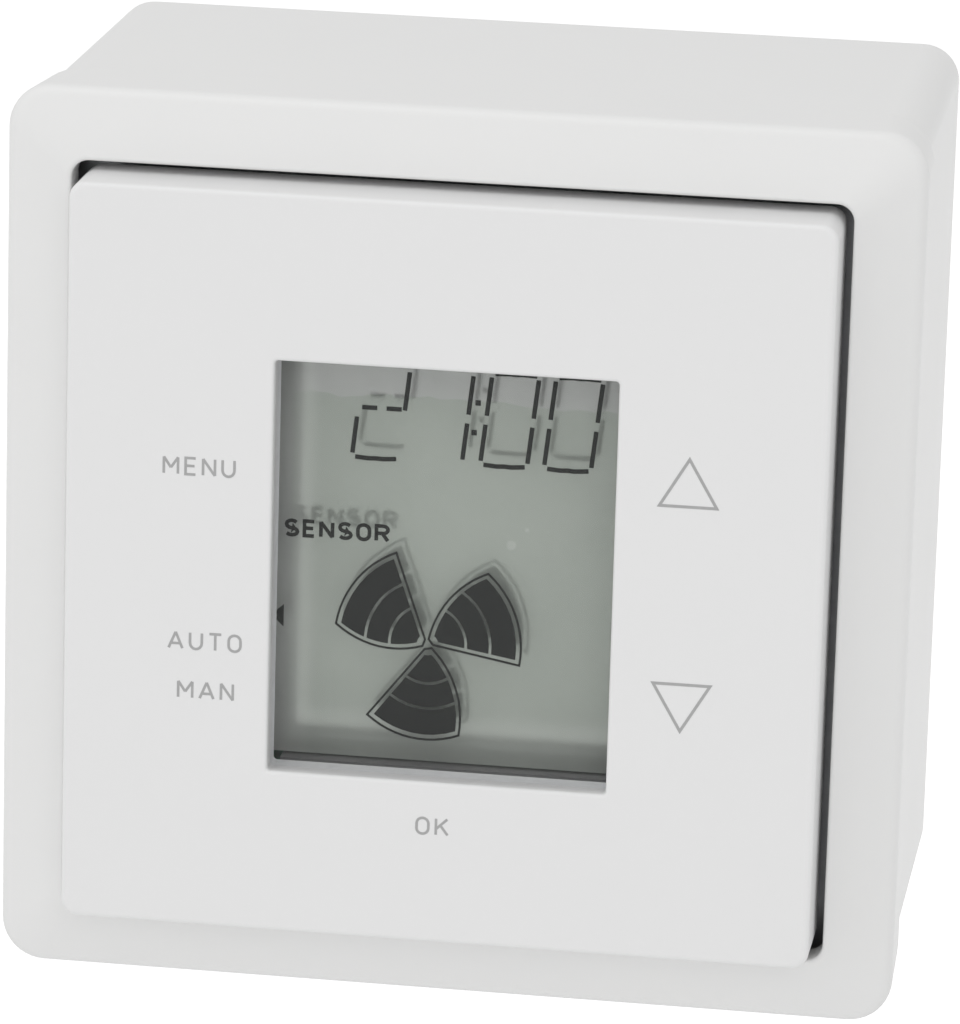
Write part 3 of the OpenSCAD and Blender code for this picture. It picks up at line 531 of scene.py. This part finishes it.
# Mouldings: name, colour, roughness, size of the grain, its depth and the strength of the clouds.
# Metals: name, colour, roughness, size of the grain and how far its lines are drawn out.
FINISHES = {
    "white_shell": moulded("white shell", (0.80, 0.80, 0.795), 0.46, 0.22 * MM, 2.2 * MICRON, 0.010),
    "white_plate": moulded("white plate", (0.80, 0.80, 0.80), 0.40, 0.16 * MM, 1.2 * MICRON, 0.008),
    "pale_moulding": moulded("pale moulding", (0.78, 0.78, 0.76), 0.5, 0.3 * MM, 5 * MICRON),
    "dark_moulding": moulded("dark moulding", (0.035, 0.035, 0.04), 0.42, 0.3 * MM, 6 * MICRON, 0.15),
    "grey_moulding": moulded("grey moulding", (0.30, 0.31, 0.33), 0.5, 0.3 * MM, 6 * MICRON, 0.06),
    "blue_moulding": moulded("blue moulding", (0.05, 0.14, 0.36), 0.4, 0.3 * MM, 5 * MICRON, 0.08),
    "board": circuit("lacquered board", (0.03, 0.20, 0.09)),
    "zinc_steel": plated("zinc plated steel", (0.66, 0.67, 0.69), 0.36, 0.5 * MM, 6),
    "tin": plated("tinned brass", (0.72, 0.72, 0.73), 0.28, 0.3 * MM, 2),
    "iron": laminated("laminated iron", (0.22, 0.23, 0.25)),
    "copper": wound("enamelled copper", (0.62, 0.29, 0.12)),
    "alloy": plated("rolled alloy", (0.72, 0.73, 0.74), 0.4, 0.4 * MM, 8),
    "resin": potted("potted winding", (0.62, 0.45, 0.12)),
    "rubber_mat": rubber("silicone mat", (0.72, 0.73, 0.74)),
    "dark_rubber": rubber("dark rubber", (0.22, 0.22, 0.22)),
    "display_glass": clear("display glass", (0.55, 0.60, 0.56), 0.985),
    "display_film": reflecting_film(),
    "window_pane": clear("window pane", (0.75, 0.77, 0.76), 0.98),
    "diffuser": moulded("milky diffuser", (0.88, 0.90, 0.90), 0.2, 0.4 * MM, 2 * MICRON),
}
LEGEND_INK = printed("legend ink", (0.40, 0.40, 0.40))
SEGMENT_INK = printed("display segment", (0.012, 0.013, 0.012), 1.2)


def carried_over_nodes():
    """Gives every node of the frame the finish of its slot."""
    for part in frame["record"]["subparts"]:
        node = frame["nodes"][part["node"]]
        node.data.materials.clear()
        node.data.materials.append(FINISHES[part["material_slot"]])


# Shells


def back_box():
    """The box on the wall: a cup with soft edges, two webbed posts, two screw slots and a cable entry."""
    half = BOX_HIGH.x
    inside = half - BOX_WALL
    front = BOX_LOW.y
    floor = -BOX_WALL
    box = shell("back_box_shell", [
        square_stop(half - 2 * MM, BOX_CORNER - 2 * MM, 0),
        square_stop(half, BOX_CORNER, 0, soft=0.6 * MM),
        square_stop(half, BOX_CORNER, front, soft=0.35 * MM),
        square_stop(inside, BOX_INNER_CORNER, front, soft=0.3 * MM),
        square_stop(inside, BOX_INNER_CORNER, floor, soft=1.2 * MM),
        square_stop(inside - 3 * MM, 0.5 * MM, floor),
    ], closed=False)

    def posts(mesh):
        for side in (-1, 1):
            start = Vector((side * POST_AT, floor + OVERSHOOT, 0))
            add_bar(mesh, start, Vector((side * POST_AT, front, 0)), POST_R, sides=40)

    def webs(mesh):
        for side in (-1, 1):
            reach = sorted((side * POST_AT, side * (inside + 0.5 * MM)))
            low = Vector((reach[0], front + 0.05 * MM, -WEB_HALF))
            add_block(mesh, low, Vector((reach[1], floor + 0.5 * MM, WEB_HALF)))

    def holes(mesh):
        outer = Vector((0, OVERSHOOT, CABLE_ENTRY_Z))
        add_bar(mesh, outer, Vector((0, floor - OVERSHOOT, CABLE_ENTRY_Z)), CABLE_ENTRY_R, sides=64)
        for side in (-1, 1):
            start = Vector((side * POST_AT, front - OVERSHOOT, 0))
            add_bar(mesh, start, start + Vector((0, POST_BORE_LENGTH, 0)), POST_BORE_R)

    def slots(mesh):
        for side in (-1, 1):
            size = (SCREW_SLOT_HALF_W, SCREW_SLOT_HALF_H, side * SCREW_SLOT_Z, SCREW_SLOT_CORNER)
            skin(mesh, [ring(*size, y) for y in (OVERSHOOT, floor - OVERSHOOT)], closed=False)

    cut(box, "posts", posts, "UNION")
    cut(box, "webs", webs, "UNION")
    cut(box, "holes", holes)
    cut(box, "slots", slots)
    return place(box, "wall_unit", FINISHES["white_shell"], "white_shell", "back_box")


def decor_frame():
    """The frame: a side band, four faces that slope in from soft hips, and a lip round the opening."""
    half = FRAME_HIGH.x
    rear = BOX_LOW.y
    edge_y = OPENING_Y + FRAME_RISE
    inside = half - FRAME_WALL
    inner_corner = FRAME_CORNER - FRAME_WALL
    lip = OPENING_HALF + FRAME_WALL
    lip_corner = OPENING_CORNER + FRAME_WALL
    lip_y = OPENING_Y + FRAME_LIP
    root_y = OPENING_Y + FRAME_WALL + 0.6 * MM
    body = shell("decor_frame_shell", [
        square_stop(half - FRAME_TAPER, FRAME_REAR_CORNER, rear, soft=0.4 * MM),
        square_stop(half, FRAME_CORNER, edge_y, soft=0.95 * MM),
        square_stop(OPENING_HALF, OPENING_CORNER, OPENING_Y, soft=0.45 * MM),
        square_stop(OPENING_HALF, OPENING_CORNER, lip_y, soft=0.2 * MM),
        square_stop(lip, lip_corner, lip_y, soft=0.2 * MM),
        square_stop(lip, lip_corner, root_y, soft=0.2 * MM),
        square_stop(inside, inner_corner, edge_y + FRAME_WALL, soft=0.5 * MM),
        square_stop(inside, inner_corner, rear, soft=0.2 * MM),
    ], closed=True)
    return place(body, "wall_unit", FINISHES["white_shell"], "white_shell", "decor_frame")


def window_stop(grow, corner, y, soft=0.0):
    """A stop of a profile that runs round the display window."""
    return (WINDOW_HALF_W + grow, WINDOW_HALF_H + grow, WINDOW_Z, corner, y, soft)


def front_plate():
    """The front plate: a square cap with soft edges, and the display's window in its face."""
    half = PLATE_HIGH.x
    face = FRONT_Y + PRINT_THICK
    back = FRONT_Y + PLATE_THICK
    inside = half - SKIRT_WALL
    body = shell("front_plate_shell", [
        square_stop(half, PLATE_CORNER, SKIRT_REAR_Y, soft=0.3 * MM),
        square_stop(half, PLATE_CORNER, face, soft=0.5 * MM),
        square_stop(half - 3 * MM, 0.6 * MM, face),
        window_stop(WINDOW_RIM, WINDOW_RIM_CORNER, face),
        window_stop(0, WINDOW_CORNER, face, soft=0.4 * MM),
        window_stop(0, WINDOW_CORNER, back, soft=0.15 * MM),
        window_stop(WINDOW_RIM, WINDOW_RIM_CORNER, back),
        square_stop(inside - 2 * MM, 0.5 * MM, back),
        square_stop(inside, PLATE_INNER_CORNER, back, soft=0.8 * MM),
        square_stop(inside, PLATE_INNER_CORNER, SKIRT_REAR_Y, soft=0.3 * MM),
    ], closed=True)
    return place(body, "front_plate", FINISHES["white_plate"], "white_plate", "front_plate")


def window_pane():
    """The clear pane, with softened edges."""
    pane = shell("window_pane", [
        window_stop(-0.3 * MM, 0.2 * MM, PANE_HIGH.y),
        window_stop(-PANE_GAP, 0.3 * MM, PANE_HIGH.y, soft=0.2 * MM),
        window_stop(-PANE_GAP, 0.3 * MM, PANE_LOW.y, soft=0.2 * MM),
        window_stop(-0.3 * MM, 0.2 * MM, PANE_LOW.y),
    ], closed=False)
    return place(pane, "front_plate", FINISHES["window_pane"], "window_pane", "display_window")


def window_seal():
    """The soft seal round the pane, behind the front plate."""
    width = SEAL_HIGH.x - WINDOW_HALF_W
    front = FRONT_Y + PLATE_THICK + 0.01 * MM
    seal = shell("window_seal_ring", [
        window_stop(SEAL_GAP, WINDOW_CORNER, SEAL_HIGH.y, soft=0.25 * MM),
        window_stop(SEAL_GAP, WINDOW_CORNER, front),
        window_stop(width, SEAL_CORNER, front),
        window_stop(width, SEAL_CORNER, SEAL_HIGH.y, soft=0.4 * MM),
    ], closed=True)
    return place(seal, "front_plate", FINISHES["rubber_mat"], "rubber_mat", "window_seal")


# Display


def glass_pack():
    """The display's glass: one clear block with ground edges for its two sheets and its polariser."""
    rear = REAR_GLASS_HIGH.y
    middle = GLASS_HIGH.y
    front = GLASS_LOW.y
    width = GLASS_HIGH.x

    def glass_stop(half_w, half_h, y, soft=0.0):
        return (half_w, half_h, 0, GLASS_CORNER, y, soft)

    pack = shell("display_glass_pack", [
        glass_stop(width - 0.4 * MM, REAR_GLASS_HIGH.z - 0.4 * MM, rear - 0.01 * MM),
        glass_stop(width, REAR_GLASS_HIGH.z, rear - 0.3 * MM),
        glass_stop(width, REAR_GLASS_HIGH.z, middle),
        glass_stop(width, GLASS_HIGH.z, middle - 0.02 * MM, soft=0.1 * MM),
        glass_stop(width, GLASS_HIGH.z, front, soft=0.15 * MM),
        glass_stop(POLARISER_HIGH.x, POLARISER_HIGH.z, front - 0.01 * MM),
        glass_stop(POLARISER_HIGH.x, POLARISER_HIGH.z, POLARISER_LOW.y + 0.1 * MM),
    ], closed=False)
    nodes = ("display_rear_glass", "display_front_glass", "display_polariser")
    return place(pack, "wall_unit", FINISHES["display_glass"], "display_glass", *nodes)


# Front and back of the display's segments and of the plate's print
SEGMENT_Y = (POLARISER_LOW.y + 0.005 * MM, POLARISER_LOW.y + 0.07 * MM)
PRINT_Y = (FRONT_Y, FRONT_Y + 2.5 * PRINT_THICK)
SHARPEST_MITRE = 0.35


def add_line(mesh, path, width, depths, closed=False):
    """Adds a flat line of the given width along a path of (x, z) points, with mitred bends."""
    loops = []
    count = len(path)
    for i, (x, z) in enumerate(path):
        ahead = path[(i + 1) % count] if closed or i < count - 1 else None
        behind = path[i - 1] if closed or i > 0 else None
        steps = []
        if behind:
            steps.append(Vector((x - behind[0], z - behind[1])).normalized())
        if ahead:
            steps.append(Vector((ahead[0] - x, ahead[1] - z)).normalized())
        along = sum(steps, Vector((0, 0))).normalized()
        side = Vector((-along.y, along.x))
        stretch = 1 / max(SHARPEST_MITRE, abs(side.dot(Vector((-steps[0].y, steps[0].x)))))
        reach = side * width / 2 * stretch
        loops.append([
            Vector((x + sign * reach.x, y, z + sign * reach.y))
            for sign, y in ((1, depths[0]), (-1, depths[0]), (-1, depths[1]), (1, depths[1]))
        ])
    skin(mesh, loops, closed)


def add_patch(mesh, outline, depths):
    """Adds a flat filled shape with the given outline of (x, z) points."""
    skin(mesh, [[Vector((x, y, z)) for x, z in outline] for y in depths], closed=False)


def bend(x, z, radius_x, radius_z, start, end, steps=8):
    """Points along an arc of an ellipse, with its angles in degrees."""
    turns = [math.radians(start + (end - start) * i / steps) for i in range(steps + 1)]
    return [(x + radius_x * math.cos(t), z + radius_z * math.sin(t)) for t in turns]


# Strokes of each letter in a cell that is 1 wide and 1 high, and each letter's width over its height
LETTERS = {
    "A": [[(0, 0), (0.5, 1)], [(0.5, 1), (1, 0)], [(0.16, 0.3), (0.84, 0.3)]],
    "E": [[(1, 1), (0, 1), (0, 0), (1, 0)], [(0, 0.52), (0.9, 0.52)]],
    "K": [[(0, 0), (0, 1)], [(0.95, 1), (0.02, 0.36)], [(0.36, 0.6), (1, 0)]],
    "M": [[(0, 0), (0, 1)], [(0, 1), (0.5, 0.36)], [(0.5, 0.36), (1, 1)], [(1, 1), (1, 0)]],
    "N": [[(0, 0), (0, 1)], [(0, 1), (1, 0)], [(1, 0), (1, 1)]],
    "O": [bend(0.5, 0.66, 0.5, 0.34, 0, 180) + bend(0.5, 0.34, 0.5, 0.34, 180, 360)],
    "R": [
        [(0, 0), (0, 1), (0.55, 1)] + bend(0.6, 0.75, 0.4, 0.25, 90, -90) + [(0, 0.5)],
        [(0.5, 0.5), (1, 0)],
    ],
    "S": [bend(0.5, 0.74, 0.46, 0.26, 30, 270) + bend(0.5, 0.24, 0.5, 0.24, 90, -150)],
    "T": [[(0, 1), (1, 1)], [(0.5, 1), (0.5, 0)]],
    "U": [[(0, 1)] + bend(0.5, 0.38, 0.5, 0.38, 180, 360) + [(1, 1)]],
}
LETTER_WIDTHS = {"M": 0.86, "A": 0.84, "E": 0.6, "T": 0.72}
USUAL_WIDTH = 0.72

# Each stroke of a letter lies this much behind the one before, so that no two faces coincide
STROKE_STEP = 0.003 * MM


def add_word(mesh, word, left, base, height, line, gap, depths, widen=1.0):
    """Adds a word in plain strokes, from its left edge on, standing on its base line."""
    x = left
    for letter in word:
        width = LETTER_WIDTHS.get(letter, USUAL_WIDTH) * height * widen
        for i, stroke in enumerate(LETTERS[letter]):
            path = [(x + u * width, base + v * height) for u, v in stroke]
            layers = (depths[0] + i * STROKE_STEP, depths[1] + i * STROKE_STEP)
            add_line(mesh, path, line, layers, closed=letter == "O")
        x += width + gap


def printed_piece(name, body, ink, slot, build):
    """A piece of print, built by a function that adds to its mesh."""
    mesh = bmesh.new()
    build(mesh)
    return place(finish_mesh(name, mesh), body, ink, slot)


# The digits: their left ends, base line, size and slant, and the splits between their segments
DIGIT_LEFT = (-9.26 * MM, -3.42 * MM, 2.56 * MM, 8.41 * MM)
DIGIT_BASE = 9.33 * MM
DIGIT_W = 4.3 * MM
DIGIT_H = 8.66 * MM
DIGIT_SLANT = 0.105
DIGIT_FOOT = 0.5 * MM
SEGMENT_LINE = 0.42 * MM
TOP_LINE = 0.24 * MM
SEGMENT_SPLIT = 0.42 * MM
END_INSET = 0.3 * MM
MIDDLE_SPANS = ((0.35 * MM, 1.75 * MM), (2.6 * MM, 4.0 * MM))
COLON_X = 1.62 * MM
COLON_HEIGHTS = (3.1 * MM, 5.9 * MM)
COLON_HALF = 0.25 * MM
COLON_LINE = 0.5 * MM


def slanted(left, u, v):
    """A point of a digit, u across and v up, both in metres."""
    return (left + u + (v - DIGIT_FOOT) * DIGIT_SLANT, DIGIT_BASE + v)


def add_digit(mesh, left, segments):
    """Adds the named segments of one slanted digit."""
    half = DIGIT_H / 2
    rows = {
        "low": (DIGIT_FOOT, half - SEGMENT_SPLIT),
        "high": (half + SEGMENT_SPLIT, DIGIT_H - END_INSET),
    }
    for name in segments:
        if name in ("low left", "low right", "high left", "high right"):
            row, side = name.split()
            u = 0 if side == "left" else DIGIT_W
            add_line(mesh, [slanted(left, u, v) for v in rows[row]], SEGMENT_LINE, SEGMENT_Y)
        elif name == "middle":
            for span in MIDDLE_SPANS:
                path = [slanted(left, u, half + DIGIT_FOOT) for u in span]
                add_line(mesh, path, SEGMENT_LINE, SEGMENT_Y)
        elif name == "bottom":
            add_line(mesh, bowed(left, 0.05 * MM, 0.1 * MM), SEGMENT_LINE, SEGMENT_Y)
        else:
            add_line(mesh, bowed(left, DIGIT_H + 0.02 * MM, -0.06 * MM), TOP_LINE, SEGMENT_Y)


def bowed(left, v, dip):
    """The path of a level segment whose ends, and half as much its middle, rise by the dip."""
    third = (DIGIT_W - DIGIT_FOOT) / 3
    rises = (dip, 0, dip / 2, 0, dip)
    return [slanted(left, END_INSET + at * third, v + rise) for at, rise in zip((0, 1, 1.5, 2, 3), rises)]


def clock_digits():
    """Four digits and a colon of split segments."""
    zero = ("low left", "low right", "high left", "high right", "bottom", "top")
    shown = (("high right", "middle", "low left", "bottom"), ("low right", "high right"), zero, zero)

    def build(mesh):
        for left, segments in zip(DIGIT_LEFT, shown):
            add_digit(mesh, left, segments)
        for v in COLON_HEIGHTS:
            x, z = slanted(COLON_X, 0, v)
            add_line(mesh, [(x - COLON_HALF, z), (x + COLON_HALF, z)], COLON_LINE, SEGMENT_Y)

    return printed_piece("clock_digits", "wall_unit", SEGMENT_INK, "dark_moulding", build)


def sensor_word():
    """The word that names the running mode."""

    def build(mesh):
        add_word(
            mesh, "SENSOR", left=-15.25 * MM, base=1.68 * MM, height=1.38 * MM,
            line=0.34 * MM, gap=0.64 * MM, depths=SEGMENT_Y, widen=1.08,
        )

    return printed_piece("mode_word", "wall_unit", SEGMENT_INK, "dark_moulding", build)


# The fan: its middle, and its three blades by their radius, the turn of their straight sides and
# their dark cells, whose radii are in millimetres
HUB = (-1.87 * MM, -7.89 * MM)
FAN_STRETCH = 1.055
BLADE_R = 8.65 * MM
BLADE_TURNS = (111, 231, 351)
BLADE_SPREAD = 60
BLADE_ROOT_R = 0.5 * MM
BLADE_ROOT_TURN = 8
BLADE_STEPS = 12
CELL_STEPS = 8
BLADE_LINE = 0.2 * MM
BLADE_MARGIN = 0.42 * MM
CELL_RADII = ((1.0, 3.42), (3.68, 5.68), (5.94, 8.2))


def from_hub(radius, degrees):
    """A point at a distance and an angle from the fan's middle."""
    turn = math.radians(degrees)
    return (HUB[0] + radius * math.cos(turn), HUB[1] + FAN_STRETCH * radius * math.sin(turn))


def curved_side(radius, turn):
    """Direction of a blade's bulging side at a distance from the hub."""
    return turn + 90 - math.degrees(math.asin(radius / (2 * BLADE_R)))


def blade_outline(turn):
    """A blade's outline: a straight side, a round end and a bulging side."""
    path = [from_hub(BLADE_ROOT_R, turn + BLADE_ROOT_TURN), from_hub(BLADE_R, turn)]
    for i in range(1, BLADE_STEPS + 1):
        path.append(from_hub(BLADE_R, turn + BLADE_SPREAD * i / BLADE_STEPS))
    for i in range(1, BLADE_STEPS + 1):
        radius = BLADE_R + (BLADE_ROOT_R - BLADE_R) * i / BLADE_STEPS
        path.append(from_hub(radius, curved_side(radius, turn)))
    return path


def blade_cell(turn, inner, outer):
    """One dark cell of a blade, between two radii."""

    def limits(radius):
        margin = math.degrees(math.asin(min(0.95, BLADE_MARGIN / radius)))
        return turn + margin, curved_side(radius, turn) - margin

    def arc(radius, start, end):
        return [from_hub(radius, start + (end - start) * i / CELL_STEPS) for i in range(CELL_STEPS + 1)]

    inner_low, inner_high = limits(inner)
    outer_low, outer_high = limits(outer)
    path = arc(inner, inner_low, inner_high)
    for i in range(1, CELL_STEPS):
        radius = inner + (outer - inner) * i / CELL_STEPS
        path.append(from_hub(radius, limits(radius)[1]))
    return path + arc(outer, outer_high, outer_low)


def fan_symbol():
    """Three fan blades, each an outline round three dark cells."""

    def build(mesh):
        for turn in BLADE_TURNS:
            add_line(mesh, blade_outline(turn), BLADE_LINE, SEGMENT_Y, closed=True)
            for inner, outer in CELL_RADII:
                add_patch(mesh, blade_cell(turn, inner * MM, outer * MM), SEGMENT_Y)

    return printed_piece("fan_symbol", "wall_unit", SEGMENT_INK, "dark_moulding", build)


POINTER_CORNERS = ((-16.45 * MM, -6.05 * MM), (-15.3 * MM, -7.1 * MM), (-15.3 * MM, -4.95 * MM))


def pointer():
    """The small triangle that points at the chosen line."""

    def build(mesh):
        add_patch(mesh, POINTER_CORNERS, SEGMENT_Y)

    return printed_piece("mode_pointer", "wall_unit", SEGMENT_INK, "dark_moulding", build)


# Legends on the front plate

# Each word's piece, its letters, and its left end and base line in millimetres
LEGENDS = (
    ("legend_menu", "MENU", -25.65, 8.27), ("legend_auto", "AUTO", -24.95, -8.2),
    ("legend_man", "MAN", -24.0, -12.85), ("legend_ok", "OK", -1.62, -24.3),
)
LEGEND_HEIGHT = 1.52 * MM
LEGEND_LINE = 0.24 * MM
LEGEND_GAP = 0.7 * MM

# Each arrow's piece, the way it points and its middle's height in millimetres
ARROWS = (("arrow_up", 1, 10.45), ("arrow_down", -1, -10.6))
ARROW_X = 22.25 * MM
ARROW_HALF_W = 2.6 * MM
ARROW_HALF_H = 2.2 * MM
ARROW_LINE = 0.27 * MM


def legends():
    """The words beside the keys and the two outlined arrows."""
    for name, word, left, base in LEGENDS:
        def build(mesh, word=word, left=left, base=base):
            add_word(mesh, word, left * MM, base * MM, LEGEND_HEIGHT, LEGEND_LINE, LEGEND_GAP, PRINT_Y)

        printed_piece(name, "front_plate", LEGEND_INK, "white_plate", build)
    for name, side, middle in ARROWS:
        def build(mesh, side=side, middle=middle):
            base = middle * MM - side * ARROW_HALF_H
            tip = middle * MM + side * ARROW_HALF_H
            path = [(ARROW_X - ARROW_HALF_W, base), (ARROW_X + ARROW_HALF_W, base), (ARROW_X, tip)]
            add_line(mesh, path, ARROW_LINE, PRINT_Y, closed=True)

        printed_piece(name, "front_plate", LEGEND_INK, "white_plate", build)


# Camera, floor and light


def place_camera():
    """Looks down at the front from a little to its right."""
    turn = math.radians(8.026)
    rise = math.radians(15.237)
    roll = math.radians(1.64)
    distance = 0.5818
    aim = Vector((3.42 * MM, FRONT_Y, 6.53 * MM))
    back = Vector((math.sin(turn) * math.cos(rise), -math.cos(turn) * math.cos(rise), math.sin(rise)))
    level = Vector((math.cos(turn), math.sin(turn), 0))
    upright = back.cross(level)
    right = math.cos(roll) * level + math.sin(roll) * upright
    data = bpy.data.cameras.new("camera")
    data.lens = 226.8
    data.sensor_width = 36
    camera = bpy.data.objects.new("camera", data)
    bpy.context.scene.collection.objects.link(camera)
    basis = Matrix((right, back.cross(right), back)).transposed()
    camera.matrix_world = Matrix.Translation(aim + back * distance) @ basis.to_4x4()
    bpy.context.scene.camera = camera


def add_light(name, at, towards, size, power):
    """A round soft lamp that shines from one point towards another."""
    data = bpy.data.lights.new(name, "AREA")
    data.shape = "DISK"
    data.size = size
    data.energy = power
    lamp = bpy.data.objects.new(name, data)
    lamp.location = at
    lamp.rotation_euler = (Vector(towards) - Vector(at)).to_track_quat("-Z", "Y").to_euler()
    bpy.context.scene.collection.objects.link(lamp)


def light_studio():
    """An even white tent with soft lights above, to the left and in front."""
    scene = bpy.context.scene
    scene.view_settings.view_transform = "Standard"
    world = bpy.data.worlds.new("studio")
    world.use_nodes = True
    tent = world.node_tree.nodes["Background"]
    tent.inputs["Color"].default_value = (1, 1, 1, 1)
    tent.inputs["Strength"].default_value = 0.74
    scene.world = world
    unit = (0, -0.03, 0)
    add_light("overhead", (-0.25, -0.35, 0.9), unit, size=0.7, power=1.7)
    add_light("front left", (-0.9, -0.8, 0.25), unit, size=0.6, power=0.5)
    add_light("front", (0.25, -1.0, 0.4), unit, size=0.6, power=1.0)


FLOOR_BELOW = 0.06
FLOOR_REACH = 6.0
FLOOR_GLOW = (0.34, 0.34, 0.34)
GLOW_FROM_Y = 0.05
GLOW_BLUR_Y = 0.1
GLOW_HALF_W = 0.6
GLOW_BLUR_X = 0.4


def plain_floor():
    """A wide pale floor well below the unit; it glows softly behind the unit, as a lit backdrop."""
    mesh = bmesh.new()
    low = CAD_BOX[0][2] - FLOOR_BELOW
    corners = [(x * FLOOR_REACH, y * FLOOR_REACH, low) for x, y in ((-1, -1), (1, -1), (1, 1), (-1, 1))]
    mesh.faces.new([mesh.verts.new(corner) for corner in corners])
    floor = finish_mesh("floor", mesh)
    finish = Finish("pale floor", Roughness=0.8)
    finish.paint(finish.mix(finish.noise(0.2, 2), (0.93, 0.93, 0.93), (0.95, 0.95, 0.95)))
    sideways = finish.node("ShaderNodeMath", {"operation": "ABSOLUTE"}, {0: finish.along("X")})
    near_middle = 1 - sideways.above(GLOW_HALF_W, GLOW_BLUR_X)
    glow = finish.along("Y").above(GLOW_FROM_Y, GLOW_BLUR_Y) * near_middle
    lit = finish.mix(glow, (0, 0, 0), FLOOR_GLOW)
    finish.tree.links.new(lit.socket, finish.surface.inputs["Emission Color"])
    finish.surface.inputs["Emission Strength"].default_value = 1.0
    floor.data.materials.append(finish.material)


place_camera()
light_studio()
plain_floor()
carried_over_nodes()
back_box()
decor_frame()
front_plate()
window_pane()
window_seal()
glass_pack()
clock_digits()
sensor_word()
fan_symbol()
pointer()
legends()
